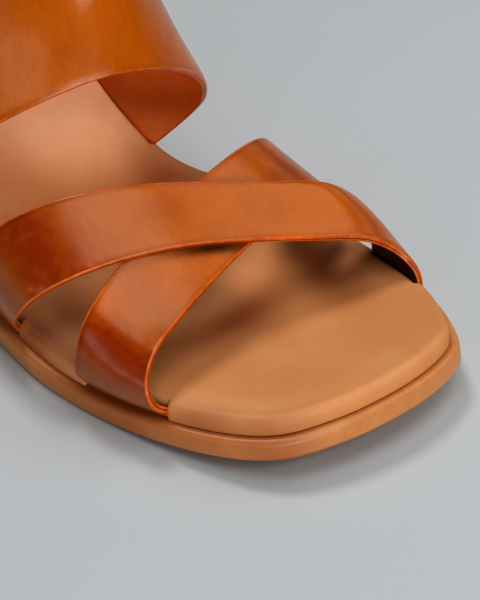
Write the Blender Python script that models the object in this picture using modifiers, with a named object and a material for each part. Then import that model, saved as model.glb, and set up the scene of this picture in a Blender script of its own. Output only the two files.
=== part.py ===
"""Leather mule sandal for the right foot.

Two crossed vamp straps and a wide instep band are held between a padded footbed with a
rolled edge and a thin outsole, which stands on its forefoot tread and on a block heel.

The pieces are drawn flat first, the way a pattern cutter draws them. A flat point is
(station, offset, height): millimetres along the sole from the heel, to the inner side of
the foot, and up from the underside of the outsole. bend() then carries every flat point
over the bottom profile of the last. Sizes are in millimetres, and MM turns them into
metres when a mesh is made.
"""

import math
from collections import namedtuple

import bmesh
import bpy
import numpy as np
from mathutils import Vector

MM = 0.001

# Driving sizes
OUTSOLE_THICKNESS = 5.4
OUTSOLE_EDGE_RADIUS = 1.7
FOOTBED_THICKNESS = 4.8
FOOTBED_LEDGE = 2.3
STRAP_THICKNESS = 1.8
GAP = 0.3

# Strap ends, which fold under the footbed
TAIL_LENGTH = 8.0
TAIL_BEND_RADIUS = 1.2
FOOT_INSET = 1.0

# The upper strap rises over the lower one, in parts of the way round the last
CROSSING_OVERLAP = 0.3
CROSSING_REACH = 0.46
CROSSING_RAMP = 0.16

# Block heel
HEEL_LENGTH = 48.0
HEEL_INSET = 1.6
HEEL_TAPER = 0.86
HEEL_BASE_FORWARD = 3.0
HEEL_EDGE_RADIUS = 0.8
HEEL_TRIM = 5.0

# Fineness of the meshes
PROFILE_STEP = 0.05
OUTLINE_STEPS = 5
ARCH_STEPS = 40
STRAP_CELLS_ACROSS = 4
BEND_STEPS = 4
FOOT_CROWDING = 0.35
RECESS_ROWS = 6
SHARP_ANGLE = 35.0

# Bottom profile of the last, from the heel to the toe. The slope is in degrees, positive
# where the sole falls towards the toe, and it changes evenly along each stretch.
Stretch = namedtuple("Stretch", "name length slope_start slope_end cuts")
PROFILE = (
    Stretch("heel seat", 52.0, 8.0, 8.0, 1),
    Stretch("seat bend", 40.0, 8.0, 31.0, 6),
    Stretch("shank", 39.5, 31.0, 31.0, 1),
    Stretch("ball break", 21.0, 31.0, 0.0, 6),
    Stretch("tread", 31.5, 0.0, 0.0, 1),
    Stretch("toe spring", 66.0, 0.0, -13.5, 7),
)

# Outline of the outsole on the flat pattern, right round from the back of the heel along
# the inner side to the toe and back along the outer side.
Edge = namedtuple("Edge", "place station offset")
OUTLINE = (
    Edge("heel back", 0.0, 0.0),
    Edge("heel inner corner", 8.0, 20.0),
    Edge("heel inner side", 32.0, 31.0),
    Edge("heel front, inner", 66.0, 28.5),
    Edge("waist, inner", 101.0, 25.0),
    Edge("shank, inner", 129.0, 27.5),
    Edge("behind the ball, inner", 159.0, 37.8),
    Edge("ball, inner", 187.0, 43.6),
    Edge("big toe side", 219.0, 42.8),
    Edge("toe corner, inner", 240.5, 33.6),
    Edge("toe front, inner", 247.4, 24.0),
    Edge("toe front", 249.9, 8.0),
    Edge("toe front, outer", 247.6, -11.0),
    Edge("toe corner, outer", 239.6, -26.5),
    Edge("little toe side", 217.0, -38.0),
    Edge("ball, outer", 184.0, -45.3),
    Edge("behind the ball, outer", 154.0, -43.4),
    Edge("shank, outer", 124.0, -37.0),
    Edge("waist, outer", 97.0, -33.0),
    Edge("heel front, outer", 66.0, -31.0),
    Edge("heel outer side", 32.0, -31.5),
    Edge("heel outer corner", 8.0, -20.0),
)

# Sections of the last that the straps lie on: the arch's height over the footbed, the
# angle by which it tucks in at its feet, the fullness of its inner and its outer half (2 is
# an ellipse, and more is squarer), and how far its ridge leans to the inner side.
Section = namedtuple("Section", "place station height tuck full_inner full_outer ridge")
SECTIONS = (
    Section("instep", 70.0, 73.0, 34.5, 1.70, 1.70, -1.1),
    Section("waist", 110.0, 65.5, 34.5, 1.58, 1.58, -1.1),
    Section("band front", 132.0, 52.5, 34.5, 1.58, 1.58, -1.1),
    Section("strap back", 146.0, 46.5, 18.4, 2.00, 1.90, -5.0),
    Section("ball", 160.0, 41.6, 18.4, 2.00, 1.90, -5.0),
    Section("toes", 209.0, 13.8, 18.4, 2.00, 1.90, -5.0),
)

# Where the edges of each strap cross the last: stations at the inner foot and the outer
# foot, and how far the middle bows towards the toe.
Strap = namedtuple("Strap", "front_inner front_outer front_bow back_inner back_outer back_bow")
STRAPS = {
    "over_strap": Strap(222.0, 170.0, 2.0, 198.0, 147.0, 9.3),
    "under_strap": Strap(182.5, 219.0, 2.0, 158.5, 197.0, 6.5),
    "instep_band": Strap(130.0, 109.5, 8.7, 76.0, 56.0, 6.0),
}

# Finishes: colour, roughness
STRAP_LEATHER = ((0.47, 0.13, 0.025, 1.0), 0.38)
FOOTBED_LEATHER = ((0.55, 0.24, 0.09, 1.0), 0.55)
SOLE_LEATHER = ((0.50, 0.20, 0.08, 1.0), 0.50)


def closed_curve(points, steps):
    """A smooth closed curve through the points: a Catmull-Rom curve, steps to each span."""
    before, here = np.roll(points, 1, axis=0), points
    after, beyond = np.roll(points, -1, axis=0), np.roll(points, -2, axis=0)
    spans = []
    for t in np.arange(steps) / steps:
        spans.append(
            0.5
            * (
                2 * here
                + (after - before) * t
                + (2 * before - 5 * here + 4 * after - beyond) * t**2
                + (3 * here - before - 3 * after + beyond) * t**3
            )
        )
    return np.stack(spans, axis=1).reshape(-1, 2)


def moved_outline(outline, distance):
    """The outline moved outwards by distance, along its normals."""
    along = np.roll(outline, -1, axis=0) - np.roll(outline, 1, axis=0)
    outwards = np.stack([-along[:, 1], along[:, 0]], axis=1)
    return outline + distance * outwards / np.linalg.norm(outwards, axis=1)[:, None]


def make_profile():
    """Stations, world x and z, and slope of the last's bottom line, with the tread at z = 0."""
    knots = np.concatenate([[0.0], np.cumsum([stretch.length for stretch in PROFILE])])
    slopes_at_knots = [PROFILE[0].slope_start] + [stretch.slope_end for stretch in PROFILE]
    stations = np.arange(0.0, knots[-1] + PROFILE_STEP / 2, PROFILE_STEP)
    slope = np.radians(np.interp(stations, knots, slopes_at_knots))
    middle = (slope[1:] + slope[:-1]) / 2
    step = np.diff(stations)
    x = np.concatenate([[0.0], np.cumsum(np.cos(middle) * step)])
    z = np.concatenate([[0.0], np.cumsum(-np.sin(middle) * step)])
    tread_start = knots[[stretch.name for stretch in PROFILE].index("tread")]
    return stations, x, z - np.interp(tread_start, stations, z), slope


def profile_cuts():
    """The stations where a sole is cut across, so that it can bend."""
    cuts, start = [], 0.0
    for stretch in PROFILE:
        cuts += [start + stretch.length * k / stretch.cuts for k in range(stretch.cuts)]
        start += stretch.length
    return cuts[1:]


OUTSOLE_OUTLINE = closed_curve(np.array([(edge.station, edge.offset) for edge in OUTLINE]), OUTLINE_STEPS)
FOOTBED_OUTLINE = moved_outline(OUTSOLE_OUTLINE, -FOOTBED_LEDGE)
STATIONS, PROFILE_X, PROFILE_Z, PROFILE_SLOPE = make_profile()
FOOTBED_LOW = OUTSOLE_THICKNESS + GAP
FOOTBED_TOP = FOOTBED_LOW + FOOTBED_THICKNESS


def bend(flat):
    """Flat (station, offset, height) carried over the last's bottom line, to world x, y, z."""
    station, offset, height = np.moveaxis(np.asarray(flat, float), -1, 0)
    slope = np.interp(station, STATIONS, PROFILE_SLOPE)
    x = np.interp(station, STATIONS, PROFILE_X) + height * np.sin(slope)
    z = np.interp(station, STATIONS, PROFILE_Z) + height * np.cos(slope)
    return np.stack([x, offset, z], axis=-1)


def sides(outline, station):
    """Offsets of an outline's inner and outer side at a station."""
    toe = int(np.argmax(outline[:, 0]))
    inner, outer = outline[: toe + 1], np.vstack([outline[toe:], outline[:1]])[::-1]
    return (
        np.interp(station, inner[:, 0], inner[:, 1]),
        np.interp(station, outer[:, 0], outer[:, 1]),
    )


def section_values(station, turn):
    """Height, tuck in radians, fullness and ridge of the last at a station and a turn."""
    stations = [section.station for section in SECTIONS]
    height, tuck, inner, outer, ridge = (
        np.interp(station, stations, [getattr(section, column) for section in SECTIONS])
        for column in ("height", "tuck", "full_inner", "full_outer", "ridge")
    )
    return height, np.radians(tuck), np.where(turn < 0.5, inner, outer), ridge


def power(value, exponent):
    """A signed power, which turns a circle's sine and cosine into a fuller or leaner arch."""
    return np.sign(value) * np.abs(value) ** exponent


def arch(station, turn, lift):
    """Offset and height of the last over the footbed. turn runs from 0 at the inner foot to
    1 at the outer foot, and lift raises the arch to clear what lies under it."""
    inner, outer = sides(FOOTBED_OUTLINE, station)
    height, tuck, fullness, ridge = section_values(station, turn)
    middle, half = (inner + outer) / 2, (inner - outer) / 2 - FOOT_INSET
    exponent = 2 / fullness
    foot = FOOTBED_LOW + STRAP_THICKNESS + TAIL_BEND_RADIUS
    angle = -tuck + turn * (math.pi + 2 * tuck)
    wide = half / power(np.cos(tuck), exponent) + lift
    tall = (height + FOOTBED_TOP - foot) / (1 + power(np.sin(tuck), exponent)) + lift
    centre = foot + (tall - lift) * power(np.sin(tuck), exponent)
    offset = middle + wide * power(np.cos(angle), exponent) + ridge * np.sin(math.pi * turn)
    return offset, centre + tall * power(np.sin(angle), exponent)


def tail(station, side, along, margin):
    """Offset and height of the strap's end, which folds under the footbed. side is 1 at the
    inner foot and -1 at the outer foot, and along runs from 0 at the tip through 1 at the
    start of the bend to 2 at the foot."""
    inner, outer = sides(FOOTBED_OUTLINE, station)
    edge = (inner if side > 0 else outer) - side * FOOT_INSET
    reach = (TAIL_LENGTH + margin) * min(along - 1, 0)
    turn = max(along - 1, 0) * math.pi / 2
    offset = edge + side * (reach - TAIL_BEND_RADIUS + TAIL_BEND_RADIUS * math.sin(turn))
    height = FOOTBED_LOW + STRAP_THICKNESS + TAIL_BEND_RADIUS * (1 - math.cos(turn))
    return offset, np.full_like(station, height)


def strap_stations(row, turn, across, margin):
    """Stations of a strap at a turn round the last, across it from its back to its front edge."""
    bow = np.sin(math.pi * turn)
    front = row.front_inner + (row.front_outer - row.front_inner) * turn + row.front_bow * bow + margin
    back = row.back_inner + (row.back_outer - row.back_inner) * turn + row.back_bow * bow - margin
    return back + (front - back) * across


def strap_turns():
    """The turns round the last where a strap has a row of points, close together at its feet."""
    even = np.arange(1, ARCH_STEPS) / ARCH_STEPS
    return even - FOOT_CROWDING * np.sin(2 * math.pi * even) / (2 * math.pi)


def crossing_lift(turn, raised):
    """How far a strap stands off the last: raised over the crossing, and nothing at its feet."""
    rise = np.clip((CROSSING_REACH - np.abs(turn - 0.5)) / CROSSING_RAMP, 0, 1)
    return raised * rise * rise * (3 - 2 * rise)


def strap_points(row, raised, margin):
    """A grid of flat points over the whole strap, from its inner tail to its outer tail."""
    across = np.linspace(0, 1, STRAP_CELLS_ACROSS + 1)
    along_tail = np.concatenate([[0.0], np.linspace(1, 2, BEND_STEPS + 1)])
    lines = []
    for along in along_tail:
        station = strap_stations(row, 0.0, across, margin)
        lines.append((station, *tail(station, 1, along, margin)))
    for turn in strap_turns():
        station = strap_stations(row, turn, across, margin)
        lines.append((station, *arch(station, turn, crossing_lift(turn, raised))))
    for along in along_tail[::-1]:
        station = strap_stations(row, 1.0, across, margin)
        lines.append((station, *tail(station, -1, along, margin)))
    return np.array([np.stack(line, axis=-1) for line in lines])


def material(name, finish):
    """A plain finish of one colour and roughness."""
    colour, roughness = finish
    made = bpy.data.materials.new(name)
    made.use_nodes = True
    shader = made.node_tree.nodes["Principled BSDF"]
    shader.inputs["Base Color"].default_value = colour
    shader.inputs["Roughness"].default_value = roughness
    made.diffuse_color = colour
    return made


def add_object(name, mesh, collection, finish=None):
    """An object of the mesh in the collection, in its finish."""
    made = bpy.data.objects.new(name, mesh)
    collection.objects.link(made)
    if finish:
        mesh.materials.append(finish)
    return made


def as_tool(obj):
    """Marks an object as a guide or cutter, which isn't a piece of the sandal."""
    obj.hide_render = True
    obj.display_type = "WIRE"
    return obj


def boolean(obj, tool, operation):
    """Cuts the tool from the object, or joins it on."""
    modifier = obj.modifiers.new(f"{operation.lower()} {tool.name}", "BOOLEAN")
    modifier.operation = operation
    modifier.object = tool


def flat_slab(name, outline, low, thickness, edge_radius):
    """A mesh of a flat slab with a rounded edge, in flat coordinates and metres."""
    curve = bpy.data.curves.new(name, "CURVE")
    curve.dimensions = "2D"
    curve.fill_mode = "BOTH"
    curve.extrude = (thickness / 2 - edge_radius) * MM
    curve.bevel_depth = edge_radius * MM
    curve.bevel_resolution = 2
    spline = curve.splines.new("POLY")
    inside = moved_outline(outline, -edge_radius)
    spline.points.add(len(inside) - 1)
    for point, (station, offset) in zip(spline.points, inside):
        point.co = (station * MM, offset * MM, 0.0, 1.0)
    spline.use_cyclic_u = True
    drawn = bpy.data.objects.new(name, curve)
    bpy.context.scene.collection.objects.link(drawn)
    drawn.location.z = (low + thickness / 2) * MM
    bpy.context.view_layer.update()
    mesh = bpy.data.meshes.new_from_object(drawn.evaluated_get(bpy.context.evaluated_depsgraph_get()))
    mesh.transform(drawn.matrix_world)
    bpy.data.objects.remove(drawn)
    return mesh


def sole_layer(name, outline, low, thickness, edge_radius, collection, finish):
    """One layer of the sole: a flat slab, cut across at the profile's stations and bent."""
    mesh = flat_slab(name, outline, low, thickness, edge_radius)
    work = bmesh.new()
    work.from_mesh(mesh)
    bmesh.ops.remove_doubles(work, verts=work.verts, dist=1e-6)
    bmesh.ops.dissolve_limit(work, angle_limit=math.radians(0.5), verts=work.verts, edges=work.edges)
    for station in profile_cuts():
        bmesh.ops.bisect_plane(
            work,
            geom=[*work.verts, *work.edges, *work.faces],
            dist=1e-6,
            plane_co=(station * MM, 0, 0),
            plane_no=(1, 0, 0),
        )
    for vertex in work.verts:
        vertex.co = Vector(bend(np.array(vertex.co) / MM) * MM)
    bmesh.ops.triangulate(work, faces=[f for f in work.faces if len(f.verts) > 4])
    bmesh.ops.recalc_face_normals(work, faces=work.faces)
    work.to_mesh(mesh)
    work.free()
    mesh.materials.clear()
    mesh.shade_smooth()
    mesh.set_sharp_from_angle(angle=math.radians(SHARP_ANGLE))
    return add_object(name, mesh, collection, finish)


def grid_mesh(name, points):
    """An open surface through a grid of world points in millimetres."""
    rows, columns = points.shape[:2]
    work = bmesh.new()
    bmesh.ops.create_grid(work, x_segments=columns - 1, y_segments=rows - 1, size=1)
    for vertex, point in zip(work.verts, points[:, ::-1].reshape(-1, 3)):
        vertex.co = Vector(point * MM)
    mesh = bpy.data.meshes.new(name)
    work.to_mesh(mesh)
    work.free()
    mesh.shade_smooth()
    return mesh


def thicken(obj, inwards, outwards):
    """Gives an open surface a wall that reaches inwards and outwards from it."""
    wall = obj.modifiers.new("wall", "SOLIDIFY")
    wall.thickness = (inwards + outwards) * MM
    wall.offset = (outwards - inwards) / (outwards + inwards)
    wall.use_even_offset = True
    return obj


def strap(name, row, raised, collection, finish=None):
    """A strap: one strip of leather over the last, with both ends folded under the footbed."""
    made = add_object(name, grid_mesh(name, bend(strap_points(row, raised, 0.0))), collection, finish)
    return thicken(made, 0.0, STRAP_THICKNESS)


def foot_recesses(name, row, collection):
    """Cutters for the two recesses in the footbed where the strap's ends fold under it."""
    points = bend(strap_points(row, 0.0, GAP))
    kept = BEND_STEPS + 2 + RECESS_ROWS
    cutters = []
    for side, part in (("inner", points[:kept]), ("outer", points[-kept:])):
        cutter = add_object(f"{name}_recess_{side}", grid_mesh(name, part), collection)
        thicken(cutter, GAP, STRAP_THICKNESS + FOOTBED_LEDGE)
        cutters.append(as_tool(cutter))
    return cutters


def heel_block(name, collection, finish):
    """The block heel: a prism under the heel seat, tapered downwards and cut to the seat."""
    outline = moved_outline(OUTSOLE_OUTLINE, -HEEL_INSET)
    back = outline[outline[:, 0] < HEEL_LENGTH]
    back = back[np.argsort(np.arctan2(back[:, 1], HEEL_LENGTH - back[:, 0]))]
    breast = np.array([(HEEL_LENGTH, offset) for offset in sides(outline, HEEL_LENGTH)])
    plan = bend(np.column_stack([np.vstack([back, breast]), np.zeros(len(back) + 2)]))
    top = plan[:, 2].max()
    work = bmesh.new()
    base = work.faces.new([work.verts.new((x * MM, y * MM, 0)) for x, y, _ in plan])
    raised = bmesh.ops.extrude_face_region(work, geom=[base])
    upper = [g for g in raised["geom"] if isinstance(g, bmesh.types.BMVert)]
    bmesh.ops.translate(work, verts=upper, vec=(0, 0, (top + HEEL_TRIM) * MM))
    lower = [v for v in work.verts if v not in upper]
    centre_x = (plan[:, 0].max() + plan[:, 0].min()) / 2 * MM
    for vertex in lower:
        vertex.co.x = centre_x + (vertex.co.x - centre_x) * HEEL_TAPER + HEEL_BASE_FORWARD * MM
        vertex.co.y *= HEEL_TAPER
    seat = bend((HEEL_LENGTH / 2, 0.0, -GAP)) * MM
    slope = math.radians(PROFILE[0].slope_start)
    cut = bmesh.ops.bisect_plane(
        work,
        geom=[*work.verts, *work.edges, *work.faces],
        dist=1e-6,
        plane_co=seat,
        plane_no=(math.sin(slope), 0, math.cos(slope)),
        clear_outer=True,
    )
    rim = [g for g in cut["geom_cut"] if isinstance(g, bmesh.types.BMEdge)]
    bmesh.ops.edgeloop_fill(work, edges=rim)
    bmesh.ops.recalc_face_normals(work, faces=work.faces)
    mesh = bpy.data.meshes.new(name)
    work.to_mesh(mesh)
    work.free()
    mesh.shade_smooth()
    mesh.set_sharp_from_angle(angle=math.radians(SHARP_ANGLE))
    made = add_object(name, mesh, collection, finish)
    rounding = made.modifiers.new("edges", "BEVEL")
    rounding.width = HEEL_EDGE_RADIUS * MM
    rounding.segments = 2
    rounding.limit_method = "ANGLE"
    rounding.angle_limit = math.radians(60)
    return made


def stand_at_origin(pieces, root):
    """Puts the middle of the sandal's foot print over the origin, with its lowest point on the floor."""
    bpy.context.view_layer.update()
    graph = bpy.context.evaluated_depsgraph_get()
    corners = np.array([tuple(c) for piece in pieces for c in piece.evaluated_get(graph).bound_box])
    low, high = corners.min(axis=0), corners.max(axis=0)
    root.location = (-(low[0] + high[0]) / 2, -(low[1] + high[1]) / 2, -low[2])


def build():
    """Makes the sandal's pieces in one collection, and their cutters in another."""
    for old in list(bpy.data.objects):
        bpy.data.objects.remove(old)
    scene = bpy.context.scene
    sandal = bpy.data.collections.new("leather_sandal")
    tools = bpy.data.collections.new("cutters")
    scene.collection.children.link(sandal)
    scene.collection.children.link(tools)

    strap_leather = material("strap_leather", STRAP_LEATHER)
    footbed_leather = material("footbed_leather", FOOTBED_LEATHER)
    sole_leather = material("sole_leather", SOLE_LEATHER)

    outsole = sole_layer(
        "outsole", OUTSOLE_OUTLINE, 0.0, OUTSOLE_THICKNESS, OUTSOLE_EDGE_RADIUS, sandal, sole_leather
    )
    rolled = FOOTBED_THICKNESS / 2
    footbed = sole_layer(
        "footbed", FOOTBED_OUTLINE, FOOTBED_LOW, FOOTBED_THICKNESS, rolled, sandal, footbed_leather
    )
    heel = heel_block("heel_block", sandal, sole_leather)

    raised = STRAP_THICKNESS - CROSSING_OVERLAP
    vamp = strap("vamp_straps", STRAPS["over_strap"], raised, sandal, strap_leather)
    under = as_tool(strap("under_strap", STRAPS["under_strap"], 0.0, tools))
    boolean(vamp, under, "UNION")
    band = strap("instep_band", STRAPS["instep_band"], 0.0, sandal, strap_leather)

    cutters = []
    for name, row in STRAPS.items():
        for cutter in foot_recesses(name, row, tools):
            boolean(footbed, cutter, "DIFFERENCE")
            cutters.append(cutter)

    pieces = [outsole, footbed, heel, vamp, band]
    root = bpy.data.objects.new("sandal", None)
    sandal.objects.link(root)
    stand_at_origin(pieces, root)
    for obj in [*pieces, under, *cutters]:
        obj.parent = root


build()
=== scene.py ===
# %% [markdown]
# # A heeled leather mule sandal
#
# This lesson dresses a packed sandal with fine surfaces and leather finishes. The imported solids
# fix every size. Each piece is worked out again here as a smooth surface on the same last,
# because a rendered strap needs rounded edges, soft creases and a grain that a plain solid lacks.

# %% Load the packed sandal
import math
from collections import namedtuple

import bpy
import numpy as np
from mathutils import Matrix, Quaternion, Vector


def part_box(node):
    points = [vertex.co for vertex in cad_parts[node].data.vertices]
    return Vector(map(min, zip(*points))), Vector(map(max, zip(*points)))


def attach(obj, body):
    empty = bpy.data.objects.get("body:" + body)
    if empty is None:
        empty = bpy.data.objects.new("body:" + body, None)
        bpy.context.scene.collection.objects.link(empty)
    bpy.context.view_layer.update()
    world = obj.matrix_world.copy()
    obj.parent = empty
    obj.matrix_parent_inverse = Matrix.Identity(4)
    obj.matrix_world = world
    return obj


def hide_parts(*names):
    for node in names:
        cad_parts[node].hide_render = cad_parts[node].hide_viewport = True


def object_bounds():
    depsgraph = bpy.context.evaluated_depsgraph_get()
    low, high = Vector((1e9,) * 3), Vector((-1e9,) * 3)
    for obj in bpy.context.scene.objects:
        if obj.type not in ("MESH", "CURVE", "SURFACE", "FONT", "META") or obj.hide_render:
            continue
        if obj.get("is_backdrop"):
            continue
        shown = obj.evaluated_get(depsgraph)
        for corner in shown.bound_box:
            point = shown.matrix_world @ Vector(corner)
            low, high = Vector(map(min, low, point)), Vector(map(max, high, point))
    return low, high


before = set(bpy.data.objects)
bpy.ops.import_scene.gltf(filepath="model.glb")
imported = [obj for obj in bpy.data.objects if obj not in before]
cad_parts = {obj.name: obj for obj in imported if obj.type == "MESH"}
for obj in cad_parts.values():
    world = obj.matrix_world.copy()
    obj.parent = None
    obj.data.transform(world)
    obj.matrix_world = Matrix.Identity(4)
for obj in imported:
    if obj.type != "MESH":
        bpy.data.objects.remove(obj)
cad_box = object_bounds()
MM = 0.001
print("solids loaded:", sorted(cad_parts))

# %% [markdown]
# ## The bottom line of the last
#
# A shoe is built on a last, a model of the foot. Its bottom line runs level under the tread,
# climbs the shank to the heel seat and lifts a little under the toes. The pieces are drawn on a
# flat pattern first: a flat point is (station, offset, height), in millimetres along the sole from
# the heel, to the inner side of the foot, and up from the underside of the outsole. Bending the
# flat pattern over this line keeps every length along the sole true, which a sculpted mesh would
# not.

# %% Bottom line of the last
Stretch = namedtuple("Stretch", "name length slope_end")
HEEL_SEAT_SLOPE = 8.0
PROFILE = (
    Stretch("heel seat", 52.0, 8.0),
    Stretch("seat bend", 40.0, 31.0),
    Stretch("shank", 39.5, 31.0),
    Stretch("ball break", 21.0, 0.0),
    Stretch("tread", 31.5, 0.0),
    Stretch("toe spring", 66.0, -13.5),
)
PROFILE_STEP = 0.05


def running_sum(steps):
    """The sum of the steps so far, starting from 0."""
    return np.concatenate([[0.0], np.cumsum(steps)])


def bottom_line():
    """Stations, x, z and slope of the last's bottom line. The slope changes evenly along each
    stretch, x and z are the running sums of its cosine and sine, and z is 0 at the tread."""
    knots = running_sum([stretch.length for stretch in PROFILE])
    slopes = [HEEL_SEAT_SLOPE] + [stretch.slope_end for stretch in PROFILE]
    stations = np.arange(0.0, knots[-1], PROFILE_STEP)
    slope = np.radians(np.interp(stations, knots, slopes))
    middle = (slope[1:] + slope[:-1]) / 2
    x = running_sum(np.cos(middle) * PROFILE_STEP)
    z = running_sum(-np.sin(middle) * PROFILE_STEP)
    tread = knots[[stretch.name for stretch in PROFILE].index("tread")]
    return stations, x, z - np.interp(tread, stations, z), slope


LINE_STATION, LINE_X, LINE_Z, LINE_SLOPE = bottom_line()


def bend(station, offset, height):
    """World x, y, z in millimetres: the bottom line's point at the station, plus the height along
    the line's own normal, with the offset kept sideways."""
    slope = np.interp(station, LINE_STATION, LINE_SLOPE)
    x = np.interp(station, LINE_STATION, LINE_X) + height * np.sin(slope)
    z = np.interp(station, LINE_STATION, LINE_Z) + height * np.cos(slope)
    return np.stack(np.broadcast_arrays(x, offset, z), axis=-1)


print("heel seat is", round(float(LINE_Z[0]), 1), "mm above the tread")

# %% [markdown]
# ## The outline of the sole
#
# A pattern cutter draws the sole's outline through a few points and fairs it with a flexible
# ruler. A Catmull-Rom curve passes through the same points, and a light blur along the curve fairs
# it, so that the highlight along the edge runs without kinks. The inner and the outer side get
# the same number of points, because paired points let the sole be filled straight across.

# %% Outline of the sole
Edge = namedtuple("Edge", "place station offset")
OUTLINE = (
    Edge("heel back", 0.0, 0.0),
    Edge("heel inner corner", 8.0, 20.0),
    Edge("heel inner side", 32.0, 31.0),
    Edge("heel front, inner", 66.0, 28.5),
    Edge("waist, inner", 101.0, 25.0),
    Edge("shank, inner", 129.0, 27.5),
    Edge("behind the ball, inner", 159.0, 37.8),
    Edge("ball, inner", 187.0, 43.6),
    Edge("big toe side", 219.0, 42.8),
    Edge("toe corner, inner", 240.5, 33.6),
    Edge("toe front, inner", 247.4, 24.0),
    Edge("toe front", 249.9, 8.0),
    Edge("toe front, outer", 247.6, -11.0),
    Edge("toe corner, outer", 239.6, -26.5),
    Edge("little toe side", 217.0, -38.0),
    Edge("ball, outer", 184.0, -45.3),
    Edge("behind the ball, outer", 154.0, -43.4),
    Edge("shank, outer", 124.0, -37.0),
    Edge("waist, outer", 97.0, -33.0),
    Edge("heel front, outer", 66.0, -31.0),
    Edge("heel outer side", 32.0, -31.5),
    Edge("heel outer corner", 8.0, -20.0),
)
CURVE_STEPS = 40
SIDE_POINTS = 640
FAIRING = 1.6


def closed_curve(points, steps):
    """A Catmull-Rom curve: each span is a cubic through two points, with the tangent at a point
    parallel to the line between its neighbours."""
    before, here = np.roll(points, 1, axis=0)[:, None], points[:, None]
    after, beyond = np.roll(points, -1, axis=0)[:, None], np.roll(points, -2, axis=0)[:, None]
    t = (np.arange(steps) / steps)[None, :, None]
    cubic = 2 * here + (after - before) * t + (2 * before - 5 * here + 4 * after - beyond) * t**2
    return (0.5 * (cubic + (3 * here - before - 3 * after + beyond) * t**3)).reshape(-1, 2)


def evenly(points, count):
    """count + 1 points along an open line, the same distance apart."""
    run = running_sum(np.linalg.norm(np.diff(points, axis=0), axis=1))
    wanted = np.linspace(0, run[-1], count + 1)
    return np.stack([np.interp(wanted, run, column) for column in points.T], axis=1)


def faired(loop, sigma):
    """A closed loop blurred along itself by a Gaussian of sigma millimetres: its Fourier terms are
    scaled by the Gaussian's own transform."""
    spacing = np.linalg.norm(np.roll(loop, -1, axis=0) - loop, axis=1).mean()
    turns = np.fft.fftfreq(len(loop), spacing)
    kept = np.exp(-2 * (math.pi * sigma * turns) ** 2)
    return np.fft.ifft(np.fft.fft(loop, axis=0) * kept[:, None], axis=0).real


def paired_outline():
    """The outline as one loop from the heel back along the inner side to the toe and back along
    the outer side, with SIDE_POINTS steps on each side."""
    curve = closed_curve(np.array([(edge.station, edge.offset) for edge in OUTLINE]), CURVE_STEPS)
    toe = int(np.argmax(curve[:, 0]))
    inner = evenly(curve[: toe + 1], SIDE_POINTS)
    outer = evenly(np.vstack([curve[toe:], curve[:1]]), SIDE_POINTS)
    return faired(np.vstack([inner[:-1], outer[:-1]]), FAIRING)


SOLE_LOOP = paired_outline()
print("sole outline:", len(SOLE_LOOP), "points,", SOLE_LOOP[:, 0].max().round(1), "mm on the flat")

# %% [markdown]
# ## From grids to meshes
#
# Every piece here is a grid of points: rows one way, columns the other. One function turns such a
# grid into a mesh. It joins the last column to the first where the surface closes on itself,
# merges rows that meet in a line, and turns all the faces outwards when the volume comes out
# negative. Making the faces as arrays is quick, and it keeps the surface's own two directions
# for a UV map in metres, which a remesh would lose.

# %% Grid surfaces
MERGE = 1e-7


def grid_faces(rows, columns):
    """Corner indices of the quads of a grid whose columns close on themselves."""
    row, column = np.meshgrid(np.arange(rows - 1), np.arange(columns), indexing="ij")
    following = (column + 1) % columns
    corners = (row, column), (row, following), (row + 1, following), (row + 1, column)
    return np.stack([r * columns + c for r, c in corners], axis=-1).reshape(-1, 4)


def signed_volume(points, faces):
    """Volume inside the quads: the sum of the tetrahedra from the origin to each half quad."""
    a, b, c, d = (points[faces[:, corner]] for corner in range(4))
    first = np.einsum("ij,ij->i", a, np.cross(b, c))
    return float((first + np.einsum("ij,ij->i", a, np.cross(c, d))).sum() / 6)


def grid_piece(name, grid, materials, column_material=None, uv=None, measures=None):
    """A closed piece of a (rows, columns, 3) grid in millimetres. column_material picks a material
    for each strip between two columns, uv is a (rows, columns + 1, 2) map in millimetres, and
    measures are numbers kept at each point for the finish to read."""
    rows, columns = grid.shape[:2]
    points = grid.reshape(-1, 3) * MM
    faces = grid_faces(rows, columns)
    inside_out = signed_volume(points, faces) < 0
    mesh = bpy.data.meshes.new(name)
    mesh.from_pydata(points, [], faces[:, ::-1] if inside_out else faces)
    for finish in materials:
        mesh.materials.append(finish)
    if column_material is not None:
        mesh.polygons.foreach_set("material_index", np.tile(column_material, rows - 1).astype(np.int32))
    if uv is not None:
        corners = np.stack([uv[:-1, :-1], uv[:-1, 1:], uv[1:, 1:], uv[1:, :-1]], axis=2).reshape(-1, 4, 2)
        corners = corners[:, ::-1] if inside_out else corners
        mesh.uv_layers.new(name="lay").data.foreach_set("uv", (corners * MM).astype(np.float32).ravel())
    for measure, values in (measures or {}).items():
        kept = mesh.attributes.new(measure, "FLOAT", "POINT")
        kept.data.foreach_set("value", np.broadcast_to(values, (rows, columns)).astype(np.float32).ravel())
    mesh.shade_smooth()
    piece = bpy.data.objects.new(name, mesh)
    bpy.context.scene.collection.objects.link(piece)
    weld = piece.modifiers.new("closed rows", "WELD")
    weld.merge_threshold = MERGE
    print(name, "has", len(faces) * 2, "triangles")
    return piece


# %% [markdown]
# ## Adding finishes
#
# A finish is a small graph of nodes. Colours are picked as the hex values that a picture
# program shows, and one function turns them to the linear light that a renderer adds up. Another
# adds a node with its settings and links and hands back one output, so that each finish reads as a
# short list.

# %% Colours and nodes
def linear(hex_colour):
    """The linear RGBA of an sRGB hex colour, by the sRGB curve."""
    srgb = np.array([int(hex_colour[i : i + 2], 16) for i in (1, 3, 5)]) / 255
    light = np.where(srgb <= 0.04045, srgb / 12.92, ((srgb + 0.055) / 1.055) ** 2.4)
    return (*light.tolist(), 1.0)


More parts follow.
